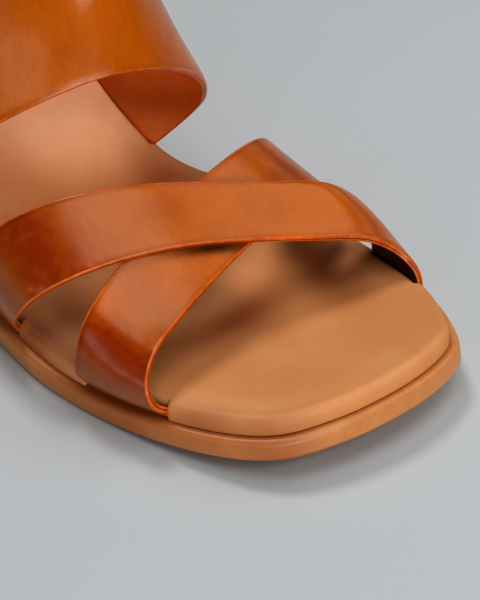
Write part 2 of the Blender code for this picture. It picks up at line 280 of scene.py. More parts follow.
def set_inputs(finish, node, inputs):
    """Sets a node's inputs, each to a value or to an output to link. They are given by name or number,
    or in the node's own order."""
    for socket, value in inputs.items() if isinstance(inputs, dict) else enumerate(inputs):
        if isinstance(value, bpy.types.NodeSocket):
            finish.node_tree.links.new(value, node.inputs[socket])
        else:
            node.inputs[socket].default_value = value


def add_node(finish, kind, output, inputs=(), **settings):
    """One output of a new node with its settings and inputs."""
    node = finish.node_tree.nodes.new("ShaderNode" + kind)
    for setting, value in settings.items():
        setattr(node, setting, value)
    set_inputs(finish, node, inputs)
    return node.outputs[output]


def new_finish(name):
    """An empty finish, and its shader with its output linked."""
    finish = bpy.data.materials.new(name)
    finish.use_nodes = True
    return finish, finish.node_tree.nodes["Principled BSDF"]


# The inputs of a Mix node for colours, which share their names with those for numbers.
MIX_A, MIX_B, MIX_RESULT = 6, 7, 2

print("one orange leather brown in linear light:", [round(v, 3) for v in linear("#B4531A")[:3]])

# %% [markdown]
# ## Dye and painted shade of the waxed pull-up leather
#
# The straps are smooth full-grain leather, dyed through, then waxed and polished by hand. The wax
# makes the brown cloudy, from orange to red-brown. The same red-brown is painted shade where a flank
# of a strap faces the dim room, and it darkens a few smaller patches. Two noises, 16 mm and 4 mm wide,
# make the clouds. The painted shade is a measure kept at each point of a strap, because a noise would
# not lie where the shade falls.

# %% Dye and painted shade
CLOUD_WIDTH = 16.0
SMALL_CLOUD_WIDTH = 4.0
ORANGE_DYE = "#BD660D"
# The same red-brown serves the random clouds and the painted shade.
CLOUD_AND_PAINTED_SHADE_BROWN = "#943804"


def per_metre(width):
    """A texture scale: how many times a pattern of a width in millimetres repeats in a metre."""
    return 1 / (width * MM)


def dyed_brown(finish, place, small_cloud):
    """The dye: orange mixed with red-brown by the painted shade and patches, which the small clouds
    make uneven, plus the large clouds."""
    cloud = add_node(finish, "TexNoise", "Fac", {
        "Vector": place, "Scale": per_metre(CLOUD_WIDTH), "Detail": 3.0, "Roughness": 0.55
    })
    # A Map Range takes a value, its low and high end, and what these two become.
    cloudy = add_node(finish, "MapRange", "Result", (cloud, 0.30, 0.70, -0.10, 0.24))
    uneven = add_node(finish, "MapRange", "Result", (small_cloud, 0.30, 0.70, 0.75, 1.25))
    # Painted shade: this measure darkens the dye where a flank faces the dim room.
    painted_shade_and_patches = add_node(finish, "Attribute", "Fac", attribute_name="painted_shade_and_patches")
    browned = add_node(
        finish, "Math", 0, (painted_shade_and_patches, uneven, cloudy), operation="MULTIPLY_ADD", use_clamp=True
    )
    mixed = {0: browned, MIX_A: linear(ORANGE_DYE), MIX_B: linear(CLOUD_AND_PAINTED_SHADE_BROWN)}
    return add_node(finish, "Mix", MIX_RESULT, mixed, data_type="RGBA")


print("dye goes from", ORANGE_DYE, "to", CLOUD_AND_PAINTED_SHADE_BROWN)

# %% [markdown]
# ## Streaks and rubbed edges
#
# A polishing cloth leaves fine streaks across a strap. They are a noise 1 mm wide on the strap's own
# UV map, drawn out five times across the strap, so that they turn with the leather. Close to the cut
# edge the leather is rubbed darker and duller, a few small scuffs stand out lighter or darker, and a
# painted shadow darkens and dulls the under strap below the over strap's edge.

# %% Streaks and rubbed edges
STREAK_WIDTH = 1.0
STREAK_STRETCH = 0.2


def streaked(finish):
    """A factor near 1 from the noise of streaks, on a UV map that is squeezed across the strap."""
    lay = add_node(finish, "UVMap", "UV", uv_map="lay")
    drawn_out = add_node(
        finish, "VectorMath", "Vector", (lay, (1.0, STREAK_STRETCH, 1.0)), operation="MULTIPLY"
    )
    streak = add_node(finish, "TexNoise", "Fac", {
        "Vector": drawn_out, "Scale": per_metre(STREAK_WIDTH), "Detail": 3.0, "Roughness": 0.6
    })
    return add_node(finish, "MapRange", "Result", (streak, 0.30, 0.72, 0.92, 1.08))


def rubbed_edge_and_shadow(finish):
    """A factor below 1 at the cut edge that rises to 1 about 2 mm further in, plus the scuffs and the
    painted shadow.
    """
    edge = add_node(finish, "Attribute", "Fac", attribute_name="from_edge")
    faded = add_node(
        finish, "MapRange", "Result", (edge, 0.2, 2.2, 0.80, 1.0), interpolation_type="SMOOTHSTEP"
    )
    # Scuffs, and the painted shadow under the over strap's edge.
    scuff_and_shadow = add_node(finish, "Attribute", "Fac", attribute_name="scuff_and_shadow")
    return add_node(finish, "Math", 0, (faded, scuff_and_shadow), operation="ADD")


print("streaks are", STREAK_WIDTH, "mm wide and", STREAK_WIDTH / STREAK_STRETCH, "mm long")

# %% [markdown]
# ## Grain and gloss
#
# Full-grain leather keeps its pores, and the wax fills most of them. The grain here is a pattern of
# cells of 0.6 mm over a noise of pores, a little coarser than life so that it shows at this size of
# picture. The wax gives a soft gloss that changes with the small clouds. A grey mix greys the colour:
# dust and a painted reflection of the floor low on the outer feet, and a painted sheen on the tops.

# %% Waxed pull-up leather
GRAIN_WIDTH = 0.6
PORE_WIDTH = 1.3
CELL_SHARE = 0.35
FULL_SHINE = 0.5
WAX_IOR = 1.45
# Grey of dust, also used for a painted reflection of the floor and a painted sheen.
DUST_AND_SHEEN_GREY = "#86624E"


def fine_grain(finish, place):
    """A bump from the cells, weighed down to their share, plus the pores."""
    cells = add_node(finish, "TexVoronoi", "Distance", {
        "Vector": place, "Scale": per_metre(GRAIN_WIDTH), "Randomness": 1.0
    }, feature="F1")
    pores = add_node(finish, "TexNoise", "Fac", {
        "Vector": place, "Scale": per_metre(PORE_WIDTH), "Detail": 5.0, "Roughness": 0.65
    })
    relief = add_node(finish, "Math", 0, (cells, CELL_SHARE, pores), operation="MULTIPLY_ADD")
    return add_node(finish, "Bump", "Normal", {"Height": relief, "Strength": 0.13, "Distance": 0.25 * MM})


def pull_up_leather():
    """Cloudy orange-brown leather with a fine grain and a polished wax, its colour carrying painted shade,
    shadow and sheen.
    """
    finish, shader = new_finish("waxed pull-up leather")
    place = add_node(finish, "TexCoord", "Object")
    small_cloud = add_node(finish, "TexNoise", "Fac", {
        "Vector": place, "Scale": per_metre(SMALL_CLOUD_WIDTH), "Detail": 4.0, "Roughness": 0.6
    })
    shading = rubbed_edge_and_shadow(finish)
    shade = add_node(finish, "Math", 0, (streaked(finish), shading), operation="MULTIPLY")
    brown = dyed_brown(finish, place, small_cloud)
    polished = add_node(finish, "HueSaturation", "Color", {"Color": brown, "Value": shade})
    # This measure greys the colour: dust and a painted floor reflection low on the feet, painted sheen on
    # the tops.
    dust_and_sheen = add_node(finish, "Attribute", "Fac", attribute_name="dust_and_sheen")
    mixed = {0: dust_and_sheen, MIX_A: polished, MIX_B: linear(DUST_AND_SHEEN_GREY)}
    set_inputs(finish, shader, {
        "Base Color": add_node(finish, "Mix", MIX_RESULT, mixed, data_type="RGBA"),
        "Roughness": add_node(finish, "MapRange", "Result", (small_cloud, 0.3, 0.7, 0.16, 0.25)),
        "Specular IOR Level": add_node(finish, "Math", 0, (shading, FULL_SHINE), operation="MULTIPLY"),
        "IOR": WAX_IOR,
        "Normal": fine_grain(finish, place),
    })
    return finish


STRAP_LEATHER = pull_up_leather()
print("finish:", STRAP_LEATHER.name)

# %% [markdown]
# ## Burnished edges and lining
#
# A strap's cut edge is dyed a brighter orange and rubbed with wax until it shines, so a bright line
# runs round every strap, with a fine dark line of glue between the outer leather and the lining. The
# lining is thinner and duller. Its colour is painted light and shade: a bright orange-brown inside
# the band stands in for light reaching there, and a dark brown inside the vamp for the shade in that
# narrow space. One function makes all the plain leathers, since only their colours and sizes differ.

# %% Burnished edges and lining
EDGE_STREAK = 2.5
LINING_CLOUD = 9.0
GLUE_LINE = 0.46
GLUE_LINE_HALF = 0.08
GLUE = "#5E2206"


def mottled_leather(
    name, dark, light, cloud_width, roughness, grain_width, grain_strength, layered=False, painted_shade_colour=None
):
    """Plain leather of two close colours, mixed by a noise, with a fine noise for its grain. A layered
    edge has a dark line between the outer leather and the lining. Given a painted shade colour, the
    leather goes over to it by the measure of painted shade kept at each point."""
    finish, shader = new_finish(name)
    place = add_node(finish, "TexCoord", "Object")
    cloud, grain = (
        add_node(finish, "TexNoise", "Fac", {
            "Vector": place, "Scale": per_metre(width), "Detail": detail, "Roughness": 0.6
        })
        for width, detail in ((cloud_width, 4.0), (grain_width, 3.0))
    )
    cloudy = add_node(
        finish, "MapRange", "Result", (cloud, 0.33, 0.67), interpolation_type="SMOOTHSTEP"
    )
    coats = [(cloudy, light)]
    if layered:
        layer = add_node(finish, "Attribute", "Fac", attribute_name="layer")
        line = add_node(finish, "Math", 0, (layer, GLUE_LINE, GLUE_LINE_HALF), operation="COMPARE")
        coats.append((line, GLUE))
    # Painted shade: a darker colour mixed in by this measure.
    if painted_shade_colour:
        coats.append((add_node(finish, "Attribute", "Fac", attribute_name="painted_shade_level"), painted_shade_colour))
    colour = linear(dark)
    for cover, coat in coats:
        mixed = {0: cover, MIX_A: colour, MIX_B: linear(coat)}
        colour = add_node(finish, "Mix", MIX_RESULT, mixed, data_type="RGBA")
    relief = {"Height": grain, "Strength": grain_strength, "Distance": 0.2 * MM}
    bump = add_node(finish, "Bump", "Normal", relief)
    set_inputs(finish, shader, {"Base Color": colour, "Roughness": roughness, "Normal": bump})
    return finish


BURNISHED_EDGE = mottled_leather(
    "burnished cut edge", "#BC560E", "#D06E1C", EDGE_STREAK, 0.3, 0.9, 0.1, layered=True
)
# Painted light: a bright lining inside the band.
LIT_BAND_LINING = mottled_leather("band lining, painted light", "#DC7824", "#E68A34", LINING_CLOUD, 0.45, 0.8, 0.12)
# Painted shade: a dark lining inside the vamp.
SHADED_VAMP_LINING = mottled_leather("vamp lining, painted shade", "#4E2A10", "#5A3216", LINING_CLOUD, 0.5, 0.8, 0.12)
print("finishes:", BURNISHED_EDGE.name, LIT_BAND_LINING.name, SHADED_VAMP_LINING.name)

# %% [markdown]
# ## Footbed and sole leather
#
# The footbed is covered with a paler vegetable-tanned lining leather, left matt so that the foot
# doesn't slide. The outsole and the heel are firmer leather, stained to match and waxed at the
# edge. The footbed and the outsole take a deep red-brown painted shade where shade falls on them.

# %% Footbed and sole leather
# Colour of the painted shade and shadow on the footbed and the outsole.
PAINTED_SHADE_BROWN = "#8A3C0E"
FOOTBED_LEATHER = mottled_leather(
    "matt tan lining leather", "#D2925E", "#D89C68", 22.0, 0.52, 1.1, 0.12, painted_shade_colour=PAINTED_SHADE_BROWN
)
SOLE_LEATHER = mottled_leather(
    "stained sole leather", "#C4834F", "#CE9059", 12.0, 0.36, 1.0, 0.1, painted_shade_colour=PAINTED_SHADE_BROWN
)
print("finishes:", FOOTBED_LEATHER.name, "and", SOLE_LEATHER.name)

# %% [markdown]
# ## Marks and painted shade
#
# Painted shade and shadow, painted sheen, dust, scuffs and soft creases all lie in patches without a
# hard border. Each is one row of a table, with its place, its length and width and how much it does,
# and a Gaussian hill gives it the soft border. A painted mask would need a picture file, and a noise
# would not stay where it belongs.

# %% Soft marks
Mark = namedtuple("Mark", "place along across turned length width amount")


def soft_patch(row, along, across):
    """A Gaussian patch of 1 at its middle: a length and a width, turned on the surface."""
    angle = math.radians(row.turned)
    lengthwise = (along - row.along) * math.cos(angle) + (across - row.across) * math.sin(angle)
    sideways = (across - row.across) * math.cos(angle) - (along - row.along) * math.sin(angle)
    return np.exp(-((lengthwise / row.length) ** 2) - (sideways / row.width) ** 2)


def marked(marks, along, across):
    """The sum of some marks on a surface, each a soft patch times its amount."""
    return sum((mark.amount * soft_patch(mark, along, across) for mark in marks), np.zeros_like(across))


print("a mark has", ", ".join(Mark._fields))

# %% [markdown]
# ## Layers of the sole
#
# An outsole is cut from a sheet and its edge is trimmed and rounded. As a surface it is one
# section, a slab with rounded corners, carried all the way round the outline. Near the edge the
# section's rows are offset curves of the outline, which keeps the rounding even in the square toe.
# Further in, they run straight to the middle line, where the two sides are merged. The waxed edge
# has a painted shade along the outer side and round the outer toe corner, where it faces away from the
# light.

# %% Layers of the sole
OUTSOLE_THICKNESS = 5.4
OUTSOLE_TOP_RADIUS = 1.5
OUTSOLE_LOW_RADIUS = 1.2
CORNER_STEPS = 7
EDGE_ROWS = 9
MIDDLE_ROWS = 14
EDGE_ZONE = 9.0
QUARTER = np.linspace(0, math.pi / 2, CORNER_STEPS)

pair = (-np.arange(2 * SIDE_POINTS)) % (2 * SIDE_POINTS)


def slab_section(low, thickness, low_radius, top_radius):
    """Rows of a slab's section from the middle of its underside round the edge to the middle of
    its top: inset from the outline, height, and how far each row is drawn in to the middle line."""
    middle = np.linspace(1, 0, MIDDLE_ROWS, endpoint=False)
    run_in = np.linspace(EDGE_ZONE, low_radius, EDGE_ROWS, endpoint=False)
    run_out = np.linspace(top_radius, EDGE_ZONE, EDGE_ROWS + 1)[1:]
    high = low + thickness
    parts = (
        (EDGE_ZONE + 0 * middle, low + 0 * middle, middle),
        (run_in, low + 0 * run_in, 0 * run_in),
        (low_radius * (1 - np.sin(QUARTER)), low + low_radius * (1 - np.cos(QUARTER)), 0 * QUARTER),
        (top_radius * (1 - np.cos(QUARTER)), high - top_radius * (1 - np.sin(QUARTER)), 0 * QUARTER),
        (run_out, high + 0 * run_out, 0 * run_out),
        (EDGE_ZONE + 0 * middle, high + 0 * middle, middle[::-1]),
    )
    return (np.concatenate(column) for column in zip(*parts))


def moved_outline(loop, distance):
    """The loop moved outwards along its normals by a distance, or by one distance a point."""
    along = np.roll(loop, -1, axis=0) - np.roll(loop, 1, axis=0)
    outwards = np.stack([-along[:, 1], along[:, 0]], axis=1)
    outwards /= np.linalg.norm(outwards, axis=1)[:, None]
    return loop + np.broadcast_to(distance, len(loop))[:, None] * outwards


def carried_round(loop, inset, drawn_in):
    """Flat grids of station and offset: each row of the section is the loop moved in by its inset,
    then mixed with the line half way to the point opposite."""
    grid = np.stack([moved_outline(loop, -distance) for distance in inset])
    middle = (grid + grid[:, pair]) / 2
    return grid + (middle - grid) * drawn_in[:, None, None]


def outsole_grid():
    """The outsole: a slab section carried round the outline and bent over the bottom line."""
    inset, height, drawn_in = slab_section(0.0, OUTSOLE_THICKNESS, OUTSOLE_LOW_RADIUS, OUTSOLE_TOP_RADIUS)
    flat = carried_round(SOLE_LOOP, inset, drawn_in)
    return bend(flat[..., 0], flat[..., 1], height[:, None]), flat


def shift_to_frame(grid, node):
    """How far the lesson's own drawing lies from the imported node: the distance between the middles
    of their boxes."""
    low, high = (np.array(corner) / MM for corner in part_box(node))
    own = (grid.min(axis=(0, 1)) + grid.max(axis=(0, 1))) / 2
    return np.array([*((low + high) / 2 - own)[:2], 0.0])


# Painted shade on the outsole's outer edge, which faces away from the light.
SOLE_PAINTED_SHADE = (
    Mark("outer ball edge", 202.0, -42.3, 13.0, 18.0, 6.0, 0.5),
    Mark("little toe edge", 227.0, -34.0, 27.0, 10.0, 6.0, 0.3),
    Mark("outer toe corner", 242.0, -23.0, 58.0, 9.0, 6.0, 0.48),
)
outsole_points, outsole_flat = outsole_grid()
SHIFT = shift_to_frame(outsole_points, "outsole")
shading = marked(SOLE_PAINTED_SHADE, outsole_flat[..., 0], outsole_flat[..., 1])
outsole = grid_piece("outsole_leather", outsole_points + SHIFT, [SOLE_LEATHER], measures={"painted_shade_level": shading})
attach(outsole, "root")
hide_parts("outsole")
print("drawing moved by", SHIFT.round(2), "mm to the packed frame")

# %% [markdown]
# ## The straps on the last
#
# A strap is one strip of leather pulled over the last, with both ends folded under the footbed and
# glued. The last's section at each station is an arch: a rounded curve between the two feet,
# leaner or fuller by an exponent.

# %% The last under the straps
FOOTBED_THICKNESS = 4.8
FOOTBED_LEDGE = 2.3
GAP = 0.3
FOOTBED_LOW = OUTSOLE_THICKNESS + GAP
FOOTBED_TOP = FOOTBED_LOW + FOOTBED_THICKNESS
STRAP_THICKNESS = 1.8
TAIL_LENGTH = 8.0
TAIL_BEND_RADIUS = 1.2
FOOT_INSET = 1.0
Section = namedtuple("Section", "place station height tuck full_inner full_outer ridge")
SECTIONS = (
    Section("instep", 70.0, 73.0, 34.5, 1.70, 1.70, -1.1),
    Section("waist", 110.0, 65.5, 34.5, 1.58, 1.58, -1.1),
    Section("band front", 132.0, 52.5, 34.5, 1.58, 1.58, -1.1),
    Section("strap back", 146.0, 46.5, 18.4, 2.00, 1.90, -5.0),
    Section("ball", 160.0, 41.6, 18.4, 2.00, 1.90, -5.0),
    Section("toes", 209.0, 13.8, 18.4, 2.00, 1.90, -5.0),
)
SECTION_BLUR = 4.0
BLUR_STEPS = np.arange(-3, 3.01, 0.5)
BLUR_WEIGHTS = np.exp(-(BLUR_STEPS**2) / 2)
FOOTBED_LOOP = moved_outline(SOLE_LOOP, -FOOTBED_LEDGE)


def section_value(column, station):
    """One column of the sections at a station: straight lines between the rows, blurred by a
    Gaussian so that no crease shows where two rows meet."""
    rows = [section.station for section in SECTIONS]
    values = [getattr(section, column) for section in SECTIONS]
    near = np.interp(np.asarray(station)[..., None] + BLUR_STEPS * SECTION_BLUR, rows, values)
    return near @ (BLUR_WEIGHTS / BLUR_WEIGHTS.sum())


def power(value, exponent):
    """A signed power, which turns a circle's sine and cosine into a fuller or leaner arch."""
    return np.sign(value) * np.abs(value) ** exponent


def sides(loop, station):
    """Offsets of a paired loop's inner and outer side at a station, read off by interpolation."""
    inner = loop[: SIDE_POINTS + 1]
    outer = np.vstack([loop[SIDE_POINTS:], loop[:1]])[::-1]
    return (
        np.interp(station, inner[:, 0], inner[:, 1]),
        np.interp(station, outer[:, 0], outer[:, 1]),
    )


def arch(station, turn, lift):
    """Offset and height on the last. turn runs from 0 at the inner foot to 1 at the outer foot: the
    angle sweeps from below the widest point on one side, over the top, to the other side, and
    the sine and cosine are raised to 2 over the fullness. lift stands the arch off the last."""
    inner, outer = sides(FOOTBED_LOOP, station)
    height, tuck = section_value("height", station), np.radians(section_value("tuck", station))
    full_inner, full_outer = section_value("full_inner", station), section_value("full_outer", station)
    fullness = np.where(turn < 0.5, full_inner, full_outer)
    middle, half = (inner + outer) / 2, (inner - outer) / 2 - FOOT_INSET
    exponent = 2 / fullness
    foot = FOOTBED_LOW + STRAP_THICKNESS + TAIL_BEND_RADIUS
    angle = -tuck + turn * (math.pi + 2 * tuck)
    wide = half / power(np.cos(tuck), exponent) + lift
    tall = (height + FOOTBED_TOP - foot) / (1 + power(np.sin(tuck), exponent)) + lift
    centre = foot + (tall - lift) * power(np.sin(tuck), exponent)
    lean = section_value("ridge", station) * np.sin(math.pi * turn)
    offset = middle + wide * power(np.cos(angle), exponent) + lean
    return offset, centre + tall * power(np.sin(angle), exponent)


print("foot of a strap:", sides(FOOTBED_LOOP, 180.0)[0].round(1), "mm to the inner side at the ball")

# %% [markdown]
# ## The lines of a strap
#
# A strap is cut between two lines, its front and its back edge. Each runs over the last from the inner
# foot to the outer foot, bows towards the toe, may lean to one side, and is set back or forward close
# to a foot, where the leather twists to go under the footbed. The grid's rows crowd towards the feet,
# where the strip bends most.

# %% Lines of a strap
ARCH_ROWS = 300
BEND_ROWS = 10
TAIL_ROWS = 8
FACE_COLUMNS = 46
FACE_MARGIN = 1.1
FOOT_CROWDING = 0.35
FOOT_SHARE = 0.14
CROSSING_REACH = 0.46
CROSSING_RAMP = 0.16

Line = namedtuple("Line", "inner outer bow skew set_back set_forward", defaults=(0.0,))
Strap = namedtuple("Strap", "front back")


def strip_rows():
    """For each row along a strip: turn round the last, angle of the fold at its foot, reach of the
    tail under the footbed, and side, 1 for inner and -1 for outer."""
    even = np.arange(1, ARCH_ROWS) / ARCH_ROWS
    over = even - FOOT_CROWDING * np.sin(2 * math.pi * even) / (2 * math.pi)
    tail = np.linspace(-TAIL_LENGTH, 0, TAIL_ROWS, endpoint=False)
    fold = np.linspace(0, math.pi / 2, BEND_ROWS)
    reach = np.concatenate([tail, 0 * fold])
    angle = np.concatenate([0 * tail, fold])
    ones = np.ones_like(reach)
    return (
        np.concatenate([0 * ones, over, ones]),
        np.concatenate([angle, 0 * over + math.pi / 2, angle[::-1]]),
        np.concatenate([reach, 0 * over, reach[::-1]]),
        np.concatenate([ones, 0 * over, -ones]),
    )


def smooth_step(value):
    """0 below 0, 1 above 1, and an even s-curve between them."""
    t = np.clip(value, 0, 1)
    return t * t * (3 - 2 * t)


def edge_line(line, turn):
    """Stations of a strip's edge: a straight run from the inner to the outer foot, bowed by a half
    wave, skewed by a whole wave, set back near the outer foot and set forward near the inner one."""
    straight = line.inner + (line.outer - line.inner) * turn
    waves = line.bow * np.sin(math.pi * turn) + line.skew * np.sin(2 * math.pi * turn)
    near_outer, near_inner = (smooth_step(1 - gone / FOOT_SHARE) for gone in (1 - turn, turn))
    return straight + waves - line.set_back * near_outer + line.set_forward * near_inner


def strip_inner_face(strap, lift):
    """World grid of the strip's lining side: the arch, and at each end a quarter bend and a tail."""
    turn, angle, reach, side = (column[:, None] for column in strip_rows())
    width = min(strap.front.inner - strap.back.inner, strap.front.outer - strap.back.outer)
    margin = FACE_MARGIN / width
    across = np.concatenate([[0.0], np.linspace(margin, 1 - margin, FACE_COLUMNS), [1.0]])
    front, back = edge_line(strap.front, turn), edge_line(strap.back, turn)
    station = back + (front - back) * across
    rise = smooth_step((CROSSING_REACH - np.abs(turn - 0.5)) / CROSSING_RAMP)
    offset, height = arch(station, turn, lift * rise)
    offset = offset + side * (reach - TAIL_BEND_RADIUS * (1 - np.sin(angle)))
    height = height - TAIL_BEND_RADIUS * np.cos(angle)
    return bend(station, offset, height) + SHIFT


print("grid of a strap:", len(strip_rows()[0]), "rows of", FACE_COLUMNS + 2, "columns")

# %% [markdown]
# ## The ring round a strip
#
# A strap's section is a ring: the outer face, a cut edge rounded by the edge iron, the lining, and
# the other edge, each with its own finish. A Solidify modifier would give the wall too, but not the
# two different roundings of the edge.

# %% Ring round a strip
OUTER_ROUND = 0.55
INNER_ROUND = 0.4
LEATHER, EDGE, LINING = 0, 1, 2


def strip_ring():
    """The ring round a strip: for each point its column on the face, its shift past that column
    towards the front edge, its height over the lining side, and the finish of the part after it."""
    face = np.arange(1, FACE_COLUMNS + 1)
    last = FACE_COLUMNS + 1
    top = STRAP_THICKNESS - OUTER_ROUND
    round_out = (-OUTER_ROUND + OUTER_ROUND * np.sin(QUARTER), top + OUTER_ROUND * np.cos(QUARTER))
    round_in = (-INNER_ROUND + INNER_ROUND * np.cos(QUARTER), INNER_ROUND - INNER_ROUND * np.sin(QUARTER))
    shift = np.concatenate([round_out[0], round_in[0]])
    height = np.concatenate([round_out[1], round_in[1]])
    cut = np.where(np.arange(len(shift)) < len(shift) - 1, EDGE, LINING)
    column = np.concatenate([face, last + 0 * shift, face[::-1], 0 * shift]).astype(int)
    flat = np.zeros(FACE_COLUMNS)
    return (
        column,
        np.concatenate([flat, shift, flat, -shift[::-1]]),
        np.concatenate([flat + STRAP_THICKNESS, height, flat, height[::-1]]),
        np.concatenate([flat + LEATHER, cut, flat + LINING, np.append(cut[:-1], LEATHER)]).astype(int),
    )


def strip_mirror(count):
    """For each point of the ring, the one straight through the strip: the ring read backwards, once
    for the two faces with the front edge between them, and once for the back edge."""
    index = np.arange(count)
    back_edge = 2 * FACE_COLUMNS + 2 * CORNER_STEPS
    return np.where(index < back_edge, back_edge - 1 - index, back_edge + count - 1 - index)


print("ring of a strap:", len(strip_ring()[0]), "points")

# %% [markdown]
# ## A strap from its lines
#
# Damp leather is pulled over the last and dries smooth, so a blur along the strip takes out what
# leather can't hold. The ring is then carried along the strip on the normals of its lining side, and
# creases move it in or out along those normals, as soft troughs and ridges. The distance from the
# edge, the layer, and the marks of painted shade and patches, scuffs and painted shadow, and dust and
# painted sheen are kept at each point for the finish.

# %% One strap
EDGE_DIP = 0.14
EDGE_DIP_REACH = 1.3
# The cut edge counts as this far in, so that the rubbed shade doesn't darken its corner.
CUT_EDGE_RUB = 1.0
PATH_BLUR = 2.2
TAIL_BLUR = 0.25


def run_along(grid):
    """Distance along the strip's middle, in millimetres from its inner tip."""
    line = grid[:, grid.shape[1] // 2]
    return running_sum(np.linalg.norm(np.diff(line, axis=0), axis=1))


def run_across(grid):
    """Distance across each row of the strip, in millimetres from its back edge."""
    steps = np.linalg.norm(np.diff(grid, axis=1), axis=2)
    return np.concatenate([np.zeros((len(grid), 1)), np.cumsum(steps, axis=1)], axis=1)


def blurred_along(grid):
    """The grid blurred along the strip: each row is a Gaussian mean of its neighbours, narrow at
    the folded tails and wide over the last."""
    run = run_along(grid)
    from_tip = np.minimum(run, run[-1] - run) - TAIL_LENGTH - 2 * TAIL_BEND_RADIUS
    sigma = TAIL_BLUR + (PATH_BLUR - TAIL_BLUR) * np.clip(from_tip / (3 * PATH_BLUR), 0, 1)
    weights = np.exp(-((run[:, None] - run) ** 2) / (2 * sigma[:, None] ** 2)) * np.gradient(run)
    return np.einsum("ij,jkl->ikl", weights / weights.sum(axis=1, keepdims=True), grid)


def unit(vectors):
    """Vectors of length 1."""
    return vectors / np.linalg.norm(vectors, axis=-1, keepdims=True)


def strip_piece(name, strap, lining, lift=0.0, creases=(), painted_shade_and_patches=(), scuffs_and_shadow=(), dust_and_sheen=()):
    """A strap: the ring carried along the strip, on the normals of its lining side."""
    face = blurred_along(strip_inner_face(strap, lift))
    along, across = run_along(face)[:, None], run_across(face)
    sideways = unit(np.gradient(face, axis=1))
    normal = unit(np.cross(sideways, np.gradient(face, axis=0)))
    if normal[len(face) // 2, FACE_COLUMNS // 2, 2] < 0:
        normal = -normal
    face = face - normal * marked(creases, along, across)[..., None]
    column, shift, height, finish = strip_ring()
    edge = np.minimum(across, across[:, -1:] - across)
    dip = EDGE_DIP * np.exp(-((edge / EDGE_DIP_REACH) ** 2))
    rise = height - dip[:, column] * np.clip(height / STRAP_THICKNESS, 0, 1)
    ring = face[:, column] + sideways[:, column] * shift[:, None] + normal[:, column] * rise[..., None]
    closing = (ring + ring[:, strip_mirror(len(column))]) / 2
    grid = np.concatenate([closing[:1], ring, closing[-1:]])
    ends = np.concatenate([[0], np.arange(len(face)), [len(face) - 1]])
    marks = {"painted_shade_and_patches": painted_shade_and_patches, "scuff_and_shadow": scuffs_and_shadow, "dust_and_sheen": dust_and_sheen}
    measures = {kind: marked(rows, along, across)[:, column][ends] for kind, rows in marks.items()}
    measures["from_edge"] = np.abs(edge[:, column] - np.where(finish == EDGE, CUT_EDGE_RUB, 0.0))[ends]
    measures["layer"] = height / STRAP_THICKNESS
    run = running_sum(np.abs(np.diff(across[0, column] + shift)))
    lay = np.stack(np.broadcast_arrays(along[ends], np.append(run, run[-1] + 1.0)), axis=-1)
    piece = grid_piece(name, grid, [STRAP_LEATHER, BURNISHED_EDGE, lining], finish, lay, measures)
    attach(piece, "root")
    print(name, "is", along[-1, 0].round(1), "mm long and", across[len(face) // 2, -1].round(1), "mm wide")
    return piece


print("a strap's edge dips by", EDGE_DIP, "mm")

# %% [markdown]
# ## Two crossed vamp straps
#
# The over strap runs from the outer side at the back to the inner side at the front, and the under
# strap the other way. They are glued where they cross, so the over strap rises by the thickness of
# the under strap. Soft ridges and hollows show where the leather was pulled over the last. The outer
# flanks have a red-brown painted shade where they face the dim room, and a few smaller patches are
# darker. The outer feet are greyed by dust and a painted reflection of the floor, the tops by a painted
# sheen, and a painted shadow lies on the under strap below the over strap's edge. Each mark is placed
# along the strap from its inner tip and across it from its back edge.

# %% Vamp straps
GLUE_FILM = 0.05
OVER_LIFT = STRAP_THICKNESS + GLUE_FILM
OVER_CREASES = (
    Mark("front edge stands off the under strap", 74.0, 27.0, 0.0, 16.0, 7.0, -1.8),
    Mark("fuller inner shoulder", 33.0, 4.0, 0.0, 11.0, 10.0, -2.5),
    Mark("leaner inner flank", 20.0, 23.0, 0.0, 9.0, 10.0, 1.9),
)
# Painted shade on the outer flank, which faces the dim room; the other rows darken smaller patches.
OVER_PAINTED_SHADE_AND_PATCHES = (
    Mark("outer flank", 111.0, 12.0, 0.0, 10.0, 40.0, 0.85),
    Mark("patch by the back edge", 80.0, 7.0, 20.0, 6.0, 5.0, 0.30),
    Mark("inner flank", 26.0, 14.0, 0.0, 9.0, 30.0, 0.15),
)
# Dust and a painted reflection of the floor low on the outer foot, and a painted sheen on the top.
OVER_DUST_AND_SHEEN = (
    Mark("low on the outer foot", 125.0, 12.0, 0.0, 6.0, 60.0, 0.45),
    Mark("painted sheen on the top", 93.0, 12.0, 0.0, 15.0, 40.0, 0.14),
)
OVER_SCUFFS = (
    Mark("tick by the front edge", 69.6, 20.2, 60.0, 1.6, 0.45, -0.25),
    Mark("speck on the flank", 103.5, 18.8, 0.0, 0.7, 0.6, 0.5),
    Mark("speck low on the flank", 117.7, 18.3, 0.0, 0.7, 0.6, 0.5),
)
over_strap = strip_piece(
    "over_strap",
    Strap(Line(222.0, 170.0, 3.8, 2.0, 1.8), Line(198.0, 147.0, 9.8, 2.2, 2.4, 3.5)),
    SHADED_VAMP_LINING,
    OVER_LIFT,
    OVER_CREASES,
    OVER_PAINTED_SHADE_AND_PATCHES,
    OVER_SCUFFS,
    OVER_DUST_AND_SHEEN,
)
UNDER_CREASES = (
    Mark("shoulder over the outer foot", 107.5, 12.0, 11.0, 4.5, 60.0, -0.8),
    Mark("leaner inner shoulder", 32.0, 11.0, 0.0, 15.0, 20.0, 1.2),
)
# Painted shade on the outer foot, which faces the dim room; the inner shoulder is a darker patch.
UNDER_PAINTED_SHADE_AND_PATCHES = (
    Mark("outer foot", 113.0, 12.0, 0.0, 6.2, 60.0, 1.1),
    Mark("inner shoulder", 40.0, 12.0, 0.0, 12.0, 30.0, 0.35),
)
